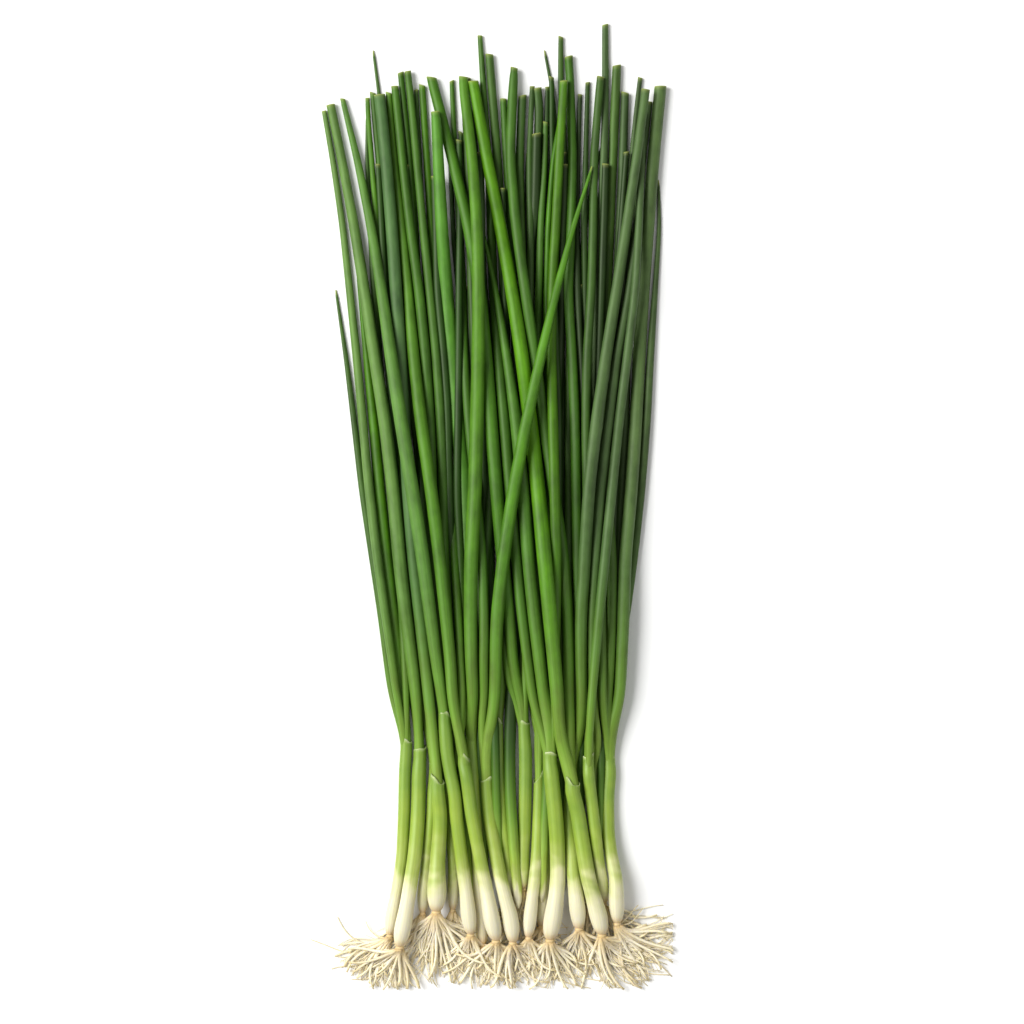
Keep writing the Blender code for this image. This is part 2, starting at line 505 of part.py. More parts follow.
def root_tube(points, radius, tip_radius):
    """A three-sided tapering tube through the points, each ring square to the root."""
    path = [Vector((p[1], p[0], p[2])) for p in points]
    rings = []
    for k, here in enumerate(path):
        ahead = path[min(k + 1, len(path) - 1)] - path[max(k - 1, 0)]
        ahead.normalize()
        side = ahead.cross(Vector((0, 0, 1))).normalized()
        top = side.cross(ahead)
        share = k / (len(path) - 1)
        r = radius + (tip_radius - radius) * share
        turns = [2 * np.pi * a / ROOT_SIDES + np.pi / 2 for a in range(ROOT_SIDES)]
        rings.append([(here + (side * float(np.cos(a)) + top * float(np.sin(a))) * r) * MM for a in turns])
    return rings


def root_paths(name, plate, lane, draw):
    """A fan of roots that starts in the plate and stays in the plant's own lane and layer."""
    layer = PLANTS[name][0]
    low, high = ROOT_SLAB[layer]
    count = ROOTS_PER_PLANT[layer]
    along, across, up = plate
    paths = []
    for k in range(count):
        share = (k + 0.5) / count
        reach = along - 15.5 + 3.5 * draw.random() + 3.0 * abs(share - 0.5)
        end = max(reach, BACK_ROOT_REACH - 2 * draw.random()) if layer == "back" else reach
        left = lane_edge(lane[0], end) + 0.8
        right = lane_edge(lane[1], end) - 0.8
        tip_across = left + (right - left) * share
        tip_up = low + (high - low) * ((k * 2) % 3) / 2
        middle = (along + end) / 2 + 1.0
        left = lane_edge(lane[0], middle) + 0.8
        right = lane_edge(lane[1], middle) - 0.8
        mid_across = np.clip(across + (tip_across - across) * 0.68, left, right)
        shoulder = (along * 0.8 + end * 0.2, across + (mid_across - across) * 0.45, up * 0.6 + tip_up * 0.4)
        bend = (middle, mid_across, up * 0.12 + tip_up * 0.88)
        start = (along, across + 0.9 * (share - 0.5), up)
        paths.append([start, shoulder, bend, (end, tip_across, tip_up)])
    return paths


def build_plant(index, name, strands, lane, draw, parent):
    green, route = PLANTS[name][4:]
    base = route[0][0]
    split = base + WHITE_SHANK_LENGTH
    own = [i for i in np.flatnonzero(strands.plant == index) if strands.is_leaf[i]]
    shank = loft("shank", shank_rings(strands, index, split + COLOUR_GAP, strands.end[index] + 0.4, BLADE_SIDES))
    blades = [loft("blade", leaf_rings(strands, i)) for i in own]
    leaves = joined(f"plant_{name}_leaves", [shank] + blades)
    bulb = loft(f"plant_{name}_bulb", shank_rings(strands, index, base, split, BULB_SIDES))
    across, up = strands.place(index, base)
    width = PLANTS[name][2]
    plate_rings = [
        section(BULB_SIDES, base - COLOUR_GAP, across, up, width * 0.24, BULB_HEIGHT_RATIO),
        section(BULB_SIDES, base - COLOUR_GAP - 0.7, across, up, width * 0.27, BULB_HEIGHT_RATIO),
        section(BULB_SIDES, base - COLOUR_GAP - PLATE_LENGTH, across, up, width * 0.2, BULB_HEIGHT_RATIO),
    ]
    plate = loft("plate", plate_rings)
    start = (base - COLOUR_GAP - 0.75, float(across), float(up))
    tubes = []
    for path in root_paths(name, start, lane, draw) + STRAY_ROOTS.get(name, []):
        tubes.append(loft("root", root_tube(path, ROOT_RADIUS, ROOT_TIP_RADIUS)))
    roots = joined(f"plant_{name}_roots", [plate] + tubes)
    leaves.data.materials.clear()
    leaves.data.materials.append(new_material(f"leaf_green_{name}", green, 0.5))
    bulb.data.materials.append(new_material(f"bulb_white_{name}", BULB_COLOUR, 0.35))
    roots.data.materials.clear()
    roots.data.materials.append(new_material(f"root_cream_{name}", PLATE_COLOUR, 0.7))
    for obj in (leaves, bulb, roots):
        obj.parent = parent
    return leaves, bulb, roots


def main():
    for obj in list(bpy.data.objects):
        bpy.data.objects.remove(obj, do_unlink=True)
    strands = Strands()
    strands.prepare()
    worst = strands.settle()
    print(f"deepest remaining overlap of clearances: {worst:.3f} mm")
    bunch = bpy.data.objects.new("chive_bunch", None)
    bpy.context.scene.collection.objects.link(bunch)
    strips = lanes()
    draw = np.random.default_rng(7)
    made = []
    for index, name in enumerate(PLANTS):
        made += build_plant(index, name, strands, strips[name], draw, bunch)
    corners = np.array([v.co for obj in made for v in obj.data.vertices])
    low, high = corners.min(axis=0), corners.max(axis=0)
    bunch.location = (-(low[0] + high[0]) / 2, -(low[1] + high[1]) / 2, -low[2])
    print("size in mm:", np.round((high - low) / MM, 1), "shift in mm:", np.round(np.array(bunch.location) / MM, 3))


main()
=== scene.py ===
import math

import bmesh
import bpy
import numpy as np
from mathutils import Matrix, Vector


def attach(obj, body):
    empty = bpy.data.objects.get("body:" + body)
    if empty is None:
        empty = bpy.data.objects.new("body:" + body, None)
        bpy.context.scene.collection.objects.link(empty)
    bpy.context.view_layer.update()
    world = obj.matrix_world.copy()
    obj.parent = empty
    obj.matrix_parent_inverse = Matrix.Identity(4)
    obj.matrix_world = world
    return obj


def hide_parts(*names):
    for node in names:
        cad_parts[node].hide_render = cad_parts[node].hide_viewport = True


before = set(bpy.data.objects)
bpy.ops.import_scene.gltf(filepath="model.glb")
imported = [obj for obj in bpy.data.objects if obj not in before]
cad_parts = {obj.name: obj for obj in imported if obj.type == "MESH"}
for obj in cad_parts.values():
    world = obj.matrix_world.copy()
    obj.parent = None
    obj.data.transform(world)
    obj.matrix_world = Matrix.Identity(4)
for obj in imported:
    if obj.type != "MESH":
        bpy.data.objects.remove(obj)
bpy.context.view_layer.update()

# The bunch as it lies: nineteen young chive plants, untied, flat on their backs with the tips along +Y.
# Nothing is moved here. The middle line and thickness of every shank and blade are read from its CAD
# solid, where level planes across the bunch cut it, so each fine piece grows exactly where its solid is.
MM = 0.001
BASE_LINE = -144.388
MIDDLE_LINE = 5.449
SLICE_STEP = 4.0
SAME_BLADE = 1.6
FORKED_BY = 60.0
POINTED = 1.3
COLLARS = {
    "01": 67.0,
    "02": 64.0,
    "03": 61.0,
    "04": 54.0,
    "05": 54.0,
    "06": 76.0,
    "07": 68.6,
    "08": 62.0,
    "09": 54.0,
    "10": 74.0,
    "11": 73.0,
    "12": 54.5,
    "13": 60.0,
    "14": 63.0,
    "15": 60.0,
    "16": 62.0,
    "17": 53.5,
    "18": 61.0,
    "19": 62.0,
}


def solid_of(node):
    """The welded corner points of a CAD node in the plants' own millimetres, and its triangles."""
    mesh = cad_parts[node].data
    points = np.array([v.co for v in mesh.vertices]) / MM
    points = points - np.array([MIDDLE_LINE, BASE_LINE, 0.0])
    _, first, welded = np.unique(np.round(points, 3), axis=0, return_index=True, return_inverse=True)
    welded = welded.reshape(-1)
    triangles = np.array([[welded[i] for i in face.vertices] for face in mesh.polygons])
    return points[first], triangles


def outlines_at(solid, along):
    """(across, up, width, height) of each closed outline where the plane at that station cuts a solid."""
    points, triangles = solid
    below = points[:, 1] < along
    cut = triangles[below[triangles].any(axis=1) & ~below[triangles].all(axis=1)]
    links = {}
    for corners in cut:
        ends = []
        for a, b in zip(corners, np.roll(corners, 1)):
            if below[a] != below[b]:
                ends.append((min(a, b), max(a, b)))
        links.setdefault(ends[0], []).append(ends[1])
        links.setdefault(ends[1], []).append(ends[0])
    found = []
    waiting = set(links)
    while waiting:
        todo = [waiting.pop()]
        ring = set(todo)
        while todo:
            for other in links[todo.pop()]:
                if other not in ring:
                    ring.add(other)
                    todo.append(other)
        waiting -= ring
        ends = points[np.array(list(ring))]
        share = (along - ends[:, 0, 1]) / (ends[:, 1, 1] - ends[:, 0, 1])
        where = ends[:, 0] + share[:, None] * (ends[:, 1] - ends[:, 0])
        low, high = where.min(axis=0), where.max(axis=0)
        middle = (low + high) / 2
        found.append((middle[0], middle[2], high[0] - low[0], high[2] - low[2]))
    return found


def eased(rows, step, passes):
    """A line resampled evenly along the bunch, with its corners rounded off and its ends kept."""
    rows = np.array(rows, float)
    count = max(4, int(round((rows[-1, 0] - rows[0, 0]) / step)) + 1)
    along = np.linspace(rows[0, 0], rows[-1, 0], count)
    columns = [np.interp(along, rows[:, 0], rows[:, k]) for k in range(1, rows.shape[1])]
    line = np.column_stack([along] + columns)
    for _ in range(passes):
        line[1:-1, 1:] += 0.5 * ((line[:-2, 1:] + line[2:, 1:]) / 2 - line[1:-1, 1:])
    return line


def shank_line(name):
    """(along, across, up, width, height) from a bulb's base to its collar."""
    rows = []
    for part, count, fuller in (("bulb", 12, 1.08), ("leaves", 16, 1.04)):
        solid = solid_of(f"plant_{name}_{part}")
        low = solid[0][:, 1].min()
        high = min(solid[0][:, 1].max(), COLLARS[name] - 2.5)
        for along in np.linspace(low + 0.05, high - 0.05, count):
            across, up, width, height = max(outlines_at(solid, along), key=lambda ring: ring[2])
            rows.append((along, across, up, width * fuller, height * fuller))
    return rows


def blade_lines(name):
    """One line for each blade of a plant, each from the collar to its tip, followed down from the tips."""
    solid = solid_of(f"plant_{name}_leaves")
    collar = COLLARS[name]
    lines = []
    top = solid[0][:, 1].max()
    for along in np.arange(top - 0.8, collar + 2, -SLICE_STEP):
        rings = outlines_at(solid, along)
        pairs = []
        for i, line in enumerate(lines):
            last = line[-1]
            ahead = line[-2] if len(line) > 1 else last
            drift = (last[1] - ahead[1]) if len(line) > 1 else 0.0
            climb = (last[2] - ahead[2]) if len(line) > 1 else 0.0
            for k, ring in enumerate(rings):
                away = math.hypot(ring[0] - last[1] - drift, ring[1] - last[2] - climb)
                if last[0] - along < SLICE_STEP * 1.5 and away < SAME_BLADE:
                    pairs.append((away, i, k))
        used_lines, used_rings = set(), set()
        for _, i, k in sorted(pairs):
            if i not in used_lines and k not in used_rings:
                lines[i].append((along, *rings[k]))
                used_lines.add(i)
                used_rings.add(k)
        if along > collar + FORKED_BY:
            for k, ring in enumerate(rings):
                if k not in used_rings:
                    lines.append([(along, *ring)])
    blades = []
    for line in lines:
        if line[0][3] < 0.72 * line[1][3] and line[1][3] > 1.35:
            line.pop(0)
        tip = line[0]
        beyond = []
        for p in solid[0]:
            aside = math.hypot(p[0] - tip[1], p[2] - tip[2])
            if tip[0] < p[1] < tip[0] + 7 and aside < 0.75 * tip[3] + 0.8:
                beyond.append(p)
        end = np.mean(beyond, axis=0) if beyond else np.array([tip[1], tip[0] + 0.3, tip[2]])
        width = 0.8 if tip[3] < POINTED else 0.97 * tip[3]
        line.insert(0, (end[1], end[0], end[2], width, width * 0.86))
        blades.append(line[::-1])
    return blades


shank_lines = {name: shank_line(name) for name in COLLARS}
leaf_lines = {name: blade_lines(name) for name in COLLARS}

# Stems. Each plant's stem is a sleeve of leaf bases rolled tight round each other: swollen, wet and white
# at the bottom, greening upwards to the collar, where the outer sleeve ends in a thin, pale, slightly torn
# lip. The CAD splits it by colour. Here both halves are one rolled sheet that changes colour on the way.
STEM_AROUND = 28
SHELL = 0.22
LIP_SLANT = 0.9
SLEEVE_DEPTH = 2.6
TAN_FOOT = 3.2
SKIN_SPAN = 330.0
SOIL_DEPTH = -1.6
OTHER_DEPTHS = {"07": 2.6, "14": -0.2, "17": -5.6}
SKIN_STOPS = [
    (0.0, "#DDD2AE"),
    (0.02, "#DFD8BC"),
    (0.05, "#DED8B6"),
    (0.066, "#CFD096"),
    (0.084, "#A5B458"),
    (0.12, "#92AA3C"),
    (0.17, "#7E9C38"),
    (0.26, "#5C8126"),
    (0.4, "#3F6A1A"),
]


def linear(hex_colour):
    """The linear RGBA of an sRGB hex colour."""
    parts = [int(hex_colour[i : i + 2], 16) / 255 for i in (1, 3, 5)]
    return [c / 12.92 if c <= 0.04045 else ((c + 0.055) / 1.055) ** 2.4 for c in parts] + [1.0]


def add(tree, kind, links=None, stops=None, **settings):
    """Adds one node: its settings, its unlinked values and links, and a colour ramp's stops."""
    node = tree.nodes.new(kind)
    for key, value in settings.items():
        setattr(node, key, value)
    for key, value in (links or {}).items():
        if isinstance(value, bpy.types.NodeSocket):
            tree.links.new(value, node.inputs[key])
        else:
            node.inputs[key].default_value = value
    if stops:
        elements = node.color_ramp.elements
        while len(elements) > 1:
            elements.remove(elements[-1])
        elements[0].position = stops[0][0]
        elements[0].color = linear(stops[0][1])
        for place, colour in stops[1:]:
            elements.new(place).color = linear(colour)
    return node


def marked(tree, name, out="Fac"):
    """A mark that the shapes carry at their corners."""
    return add(tree, "ShaderNodeAttribute", attribute_name=name).outputs[out]


def worked(tree, how, one, other):
    """The sum or the product of two values."""
    return add(tree, "ShaderNodeMath", {0: one, 1: other}, operation=how).outputs["Value"]


def ranged(tree, value, low, high, bottom=0.0, top=1.0, ease="LINEAR"):
    """A value's run from low to high, drawn out from bottom to top and held at both ends."""
    run = {"Value": value, "From Min": low, "From Max": high, "To Min": bottom, "To Max": top}
    return add(tree, "ShaderNodeMapRange", run, interpolation_type=ease).outputs["Result"]


def mixed(tree, share, one, other, way="MIX"):
    """Two colours mixed by a share."""
    parts = {"Factor": share, "A": one, "B": other}
    return add(tree, "ShaderNodeMix", parts, data_type="RGBA", blend_type=way).outputs["Result"]


def shaded(tree, colour, shade):
    """A colour made darker or lighter by a shade."""
    return mixed(tree, 1.0, colour, shade, "MULTIPLY")


def streaks(tree, shift, scale, detail, roughness=0.5):
    """Streaks or clouds laid along the rolled sheet, elsewhere on every piece."""
    sheet_uv = add(tree, "ShaderNodeUVMap", uv_map="skin").outputs["UV"]
    place = add(tree, "ShaderNodeMapping", {"Vector": sheet_uv, "Scale": scale}).outputs["Vector"]
    place = add(tree, "ShaderNodeVectorMath", {0: place, 1: shift}, operation="ADD").outputs["Vector"]
    noise = {"Vector": place, "Scale": 1.0, "Detail": detail, "Roughness": roughness}
    return add(tree, "ShaderNodeTexNoise", noise).outputs["Fac"]


def wandering(tree, rise, clouds, far):
    """How far up the skin is, shifted a little by its clouds, though not at the white foot."""
    wander = ranged(tree, clouds, 0.3, 0.7, -far, far)
    free = ranged(tree, rise, 0.02, 0.09)
    wander = worked(tree, "MULTIPLY", wander, free)
    return worked(tree, "ADD", rise, wander)


def emboss(tree, shader, height, strength, deep):
    """Lets the veins, ribs or grain stand out of the surface by a hair."""
    bump = add(tree, "ShaderNodeBump", {"Height": height, "Strength": strength, "Distance": deep})
    tree.links.new(bump.outputs["Normal"], shader.inputs["Normal"])


def new_skin(name, roughness, subsurface, coat, shine):
    """An empty plant-skin material, its tree and its shader."""
    material = bpy.data.materials.new(name)
    material.use_nodes = True
    tree = material.node_tree
    shader = tree.nodes["Principled BSDF"]
    shader.inputs["Roughness"].default_value = roughness
    shader.inputs["IOR"].default_value = 1.42
    shader.inputs["Subsurface Weight"].default_value = subsurface
    shader.inputs["Subsurface Radius"].default_value = (0.9, 1.0, 0.35)
    shader.inputs["Subsurface Scale"].default_value = 0.0012
    shader.inputs["Specular IOR Level"].default_value = shine
    shader.inputs["Specular Tint"].default_value = linear("#F0FFDC")
    shader.inputs["Coat Weight"].default_value = coat
    shader.inputs["Coat Roughness"].default_value = 0.3
    return material, tree, shader


# Fresh allium skin, peeled and washed: smooth, moist and slightly see-through, so it takes a soft broad
# shine, and the veins under it draw faint lengthwise lines about 0.5 mm apart.
stem_skin, tree, shader = new_skin(
    "washed_allium_skin", roughness=0.46, subsurface=0.34, coat=0.06, shine=0.7
)
rise = marked(tree, "rise")
shift = add(tree, "ShaderNodeCombineXYZ", {"Z": marked(tree, "seed")}).outputs["Vector"]
veins = streaks(tree, shift, (26.0, 1.6, 1.0), detail=3.0, roughness=0.55)
clouds = streaks(tree, shift, (1.6, 9.0, 1.0), detail=2.0)
level = wandering(tree, rise, clouds, 0.02)
skin_colour = add(tree, "ShaderNodeValToRGB", {"Fac": level}, stops=SKIN_STOPS).outputs["Color"]
veined = shaded(tree, skin_colour, ranged(tree, veins, 0.3, 0.7, 0.86, 1.08))
foot = ranged(tree, marked(tree, "bloom"), 0.0, 1.0, 0.0, 0.75, "SMOOTHSTEP")
footed = mixed(tree, foot, veined, linear("#CBA877"))
lipped = mixed(tree, marked(tree, "dry"), footed, linear("#D9DFAE"))
tree.links.new(lipped, shader.inputs["Base Color"])
emboss(tree, shader, veins, 0.25, 0.00006)


def start_sheet():
    """A bmesh with the marks that the plant skins read."""
    bm = bmesh.new()
    bm.loops.layers.uv.new("skin")
    for name in ("rise", "seed", "dry", "bloom"):
        bm.verts.layers.float.new(name)
    bm.verts.layers.float_color.new("own_green")
    return bm


def roll_sheet(bm, rows, around, marks, groove=(0.0, 0.0, 0.0), fray=0.0):
    """Rolls a flat sheet into a tube along the bunch and welds its seam and its two closed ends.

    rows: (along, across, up, half width, half height, slant), one ring each. groove: where round the tube a
    shallow furrow runs, its depth, and its turn from ring to ring.
    """
    grid = bmesh.ops.create_grid(bm, x_segments=around, y_segments=len(rows) - 1, size=0.5, calc_uvs=True)
    sheet = grid["verts"]
    layers = {name: bm.verts.layers.float[name] for name in ("rise", "seed", "dry", "bloom")}
    green = bm.verts.layers.float_color["own_green"]
    for vert in sheet:
        k = round((vert.co.y + 0.5) * (len(rows) - 1))
        turn = 2 * math.pi * round((vert.co.x + 0.5) * around) / around
        along, across, up, wide, high, slant = rows[k]
        press = 1 - groove[1] * max(0.0, math.cos(turn - groove[0] - groove[2] * k)) ** 6
        x = across + wide * press * math.cos(turn) + MIDDLE_LINE
        torn = fray * (math.cos(2 * turn + along) + 0.3 * math.cos(5 * turn + 3 * along))
        y = along + slant * (math.cos(turn) + torn) + BASE_LINE
        z = up + high * press * math.sin(turn)
        vert.co = Vector((x, y, max(z, 0.02))) * MM
        vert[green] = marks["own_green"]
        for name, layer in layers.items():
            value = marks[name]
            vert[layer] = value if isinstance(value, float) else float(value[k])
    bmesh.ops.remove_doubles(bm, verts=sheet, dist=2e-6)


def finish_piece(bm, name, material, nodes):
    """Makes a smooth, outward-facing piece that rides on the bunch in place of its CAD nodes."""
    bmesh.ops.recalc_face_normals(bm, faces=bm.faces[:])
    mesh = bpy.data.meshes.new(name)
    bm.to_mesh(mesh)
    bm.free()
    mesh.shade_smooth()
    mesh.materials.append(material)
    piece = bpy.data.objects.new(name, mesh)
    bpy.context.scene.collection.objects.link(piece)
    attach(piece, "root")
    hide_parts(*nodes)
    return piece


def rises(rows, pale_from=SOIL_DEPTH, span=SKIN_SPAN):
    """How far up the bunch each ring is, from 0 at the front bulbs to 1 at the longest tips.

    Most plants stood equally deep in the soil, which kept them white, so one level serves them.
    """
    return np.clip([(row[0] - pale_from) / span for row in rows], 0, 1)


stem_fine = {name: eased(shank_lines[name], 1.2, 4) for name in COLLARS}
shake = np.random.default_rng(11)
PLAIN_GREEN = linear("#5E8F35")

for name, line in stem_fine.items():
    base = line[0, 0]
    rows = [(base - 0.15, *line[0, 1:3], 0.0, 0.0, 0.0)]
    for share, back in ((0.45, -0.12), (0.72, 0.05), (0.9, 0.35)):
        rows.append((base + back, *line[0, 1:3], *(line[0, 3:5] / 2 * share), 0.0))
    rows += [(*r[:3], r[3] / 2, r[4] / 2, 0.0) for r in line[1:-1]]
    end = line[-1]
    wide, high = end[3] / 2, end[4] / 2
    lean = LIP_SLANT * (0.5 + shake.random()) * (1 if shake.random() > 0.5 else -1)
    top = COLLARS[name] + 0.5
    paleness = 0.3 + 0.6 * shake.random()
    for share in (0.0, 0.35, 0.7, 0.9, 1.0):
        rows.append((end[0] + (top - end[0]) * share, *end[1:3], wide, high, lean * share))
    lip_ring = len(rows) - 1
    rows.append((top + 0.15, *end[1:3], wide - SHELL * 0.4, high - SHELL * 0.4, lean * 1.3))
    rows.append((top - 0.6, *end[1:3], wide - SHELL, high - SHELL, lean * 0.8))
    rows.append((top - SLEEVE_DEPTH, *end[1:3], wide - SHELL, high - SHELL, 0.0))
    rows.append((top - SLEEVE_DEPTH, *end[1:3], 0.0, 0.0, 0.0))
    marks = {
        "rise": rises(rows, OTHER_DEPTHS.get(name, SOIL_DEPTH)),
        "seed": float(shake.random() * 40),
        "dry": [max(0.0, min(1.0, (k - lip_ring + 2) / 2)) * paleness for k in range(len(rows))],
        "bloom": [max(0.0, 1 - (row[0] - base) / TAN_FOOT) for row in rows],
        "own_green": PLAIN_GREEN,
    }
    bm = start_sheet()
    roll_sheet(bm, rows, STEM_AROUND, marks, fray=0.6)
    replaced = [f"plant_{name}_bulb", f"plant_{name}_leaves"]
    finish_piece(bm, f"plant_{name}_stem", stem_skin, replaced)

# Blades. Two to four hollow, round chive leaves grow out of each sleeve and taper to the top, where most
# were cut across and show their thin rim; a few still end in their own point. A greyish wax lies on the
# older ones.
BLADE_AROUND = 20
BLADE_STEP = 2.2
WALL = 0.34
HOLE_DEPTH = 5.0
EMERGES = 6.0
FULLER = 1.07
# The blade greens are partly each blade's own tint and partly painted light: the palest, such as the sage
# green of the top blades at the left where the lamp falls, are painted lighter, and the two darkest are
# painted shade for blades lying under others.
LIME, GRASS, LEAF, MOSS = "#508314", "#3F6D16", "#315A13", "#2A4A15"
DEEP_GREEN_AND_SHADE, PAINTED_SHADE_GREEN, SEA, SAGE = "#1B390C", "#122807", "#2C5030", "#58783C"
STONE, SLATE = "#3E5432", "#2E4224"

# Tip of each blade (along, across), its grown green, and how much wax lies on it. The greens carry painted
# light: blades lying on top are painted paler and blades lying under others darker, as painted shade.
BLADE_LOOKS = {
    "01": [(216.5, -57, MOSS, 0.3), (276, -60.7, SAGE, 0.5), (223, -50, GRASS, 0.2)],
    "02": [(278, -59, SAGE, 0.4), (275, -47, MOSS, 0.3)],
    "03": [(279.5, -46.5, GRASS, 0.3), (282, -45, LEAF, 0.3)],
    "04": [(280.5, -42.6, SEA, 0.6), (296, -44.6, MOSS, 0.4)],
    "05": [(288.7, -35.6, LEAF, 0.2), (283, -30.4, MOSS, 0.2)],
    "06": [(280, -54.8, "#4C7530", 0.4), (284, -37.6, LEAF, 0.3)],
    "07": [(287, -14.9, "#4A7720", 0.3), (275, -23.8, "#4A7D2C", 0.3), (287, -12.9, DEEP_GREEN_AND_SHADE, 0.2)],
    "08": [(282, -39, "#487420", 0.3), (289, -33.7, LEAF, 0.4), (284.5, -28.7, GRASS, 0.2)],
    "09": [(257, 27.7, "#4A7A22", 0.2), (286, -18.5, LEAF, 0.3), (275.5, -14.5, DEEP_GREEN_AND_SHADE, 0.3)],
    "10": [(269, -15.5, DEEP_GREEN_AND_SHADE, 0.2), (294.7, -6.3, MOSS, 0.4), (262, 8, PAINTED_SHADE_GREEN, 0.1)],
    "11": [(287, -25.7, "#3E6A1C", 0.2), (280, -1.6, LEAF, 0.2), (281, 4.3, MOSS, 0.2)],
    "12": [(284, 8.6, DEEP_GREEN_AND_SHADE, 0.3), (283, 10.9, MOSS, 0.2), (272, 11.9, LEAF, 0.3)],
    "13": [(284, 13.2, DEEP_GREEN_AND_SHADE, 0.1), (296, 12.9, DEEP_GREEN_AND_SHADE, 0.2), (272, 16.2, "#42701E", 0.1)],
    "14": [(236, -8.3, "#436C25", 0.2), (301, -9.2, LEAF, 0.3), (285.5, 18.5, "#466F1C", 0.1)],
    "15": [
        (282.5, 45.5, STONE, 0.4),
        (300.6, 17.8, MOSS, 0.3),
        (294, 19.8, LEAF, 0.2),
        (269.6, 32, DEEP_GREEN_AND_SHADE, 0.2),
    ],
    "16": [
        (275, 44.5, STONE, 0.3),
        (287, 30.4, MOSS, 0.3),
        (285.5, 26.4, DEEP_GREEN_AND_SHADE, 0.2),
        (282, 38.6, SLATE, 0.2),
    ],
    "17": [(285.5, -12.2, LIME, 0.1), (290, 2, LEAF, 0.3), (287, 14.2, DEEP_GREEN_AND_SHADE, 0.1)],
    "18": [(287, 43.6, SLATE, 0.3), (279, 47.5, STONE, 0.3), (281.5, 23.8, PAINTED_SHADE_GREEN, 0.1)],
    "19": [
        (284, 50, "#4A6039", 0.5),
        (253, 49.2, SLATE, 0.4),
        (291, 36.3, "#3F5C26", 0.3),
        (304.6, 32.3, STONE, 0.3),
    ],
}

# Chive leaf, grown outdoors: hollow, smooth and semi-matt under a thin grey wax, with the chlorophyll in
# lengthwise ribs about 0.5 mm apart, so the green is streaky and cloudy, and paler where the leaf is young.
blade_skin, tree, shader = new_skin(
    "waxy_chive_leaf", roughness=0.5, subsurface=0.05, coat=0.0, shine=0.58
)
rise = marked(tree, "rise")
seed = marked(tree, "seed")
shift = add(tree, "ShaderNodeCombineXYZ", {"Y": seed, "Z": seed}).outputs["Vector"]
ribs = streaks(tree, shift, (24.0, 4.0, 1.0), detail=2.0)
clouds = streaks(tree, shift, (2.4, 20.0, 1.0), detail=4.0, roughness=0.6)
level = wandering(tree, rise, clouds, 0.04)
young = add(tree, "ShaderNodeValToRGB", {"Fac": level}, stops=SKIN_STOPS).outputs["Color"]
grown = ranged(tree, level, 0.2, 0.5, ease="SMOOTHSTEP")
green = mixed(tree, grown, young, marked(tree, "own_green", "Color"))
green = shaded(tree, green, ranged(tree, clouds, 0.3, 0.7, 0.62, 1.32))
green = shaded(tree, green, ranged(tree, ribs, 0.3, 0.7, 0.84, 1.12))
wax = worked(tree, "MULTIPLY", marked(tree, "bloom"), clouds)
wax = worked(tree, "MULTIPLY", wax, grown)
green = mixed(tree, wax, green, linear("#6E8A4E"))
green = mixed(tree, marked(tree, "dry"), green, linear("#A3AB66"))
green = add(
    tree, "ShaderNodeHueSaturation", {"Color": green, "Fac": grown, "Saturation": 1.1, "Value": 0.91}
).outputs["Color"]
tree.links.new(green, shader.inputs["Base Color"])
tree.links.new(ranged(tree, wax, 0.0, 0.5, 0.52, 0.62), shader.inputs["Roughness"])
emboss(tree, shader, ribs, 0.25, 0.00007)


def look_of(name, tip):
    """The look of the blade whose tip was noted nearest to this one."""
    return min(BLADE_LOOKS[name], key=lambda look: math.hypot(look[0] - tip[0], look[1] - tip[1]))


def grown_line(name, line, fullness):
    """A blade's line with its lowest part added, where it lies against the inside of its sleeve."""
    stem = stem_fine[name]
    across, up, wide, high = [np.interp(COLLARS[name] - 2.5, stem[:, 0], stem[:, k]) for k in (1, 2, 3, 4)]
    room = (wide / 2 - SHELL, high / 2 - SHELL)
    half = (room[0] * fullness, room[1] * fullness)
    away = math.hypot(line[0][1] - across, line[0][2] - up) + 0.001
    aside = (line[0][1] - across) / away * (room[0] - half[0])
    aloft = (line[0][2] - up) / away * (room[1] - half[1])
    start = COLLARS[name] - EMERGES
    deep = [np.interp(start, stem[:, 0], stem[:, k]) for k in (1, 2)]
    return [
        (start, deep[0] + aside * 0.7, deep[1] + aloft * 0.7, half[0] * 1.8, half[1] * 1.8),
        (COLLARS[name], across + aside, up + aloft, half[0] * 2, half[1] * 2),
    ] + line


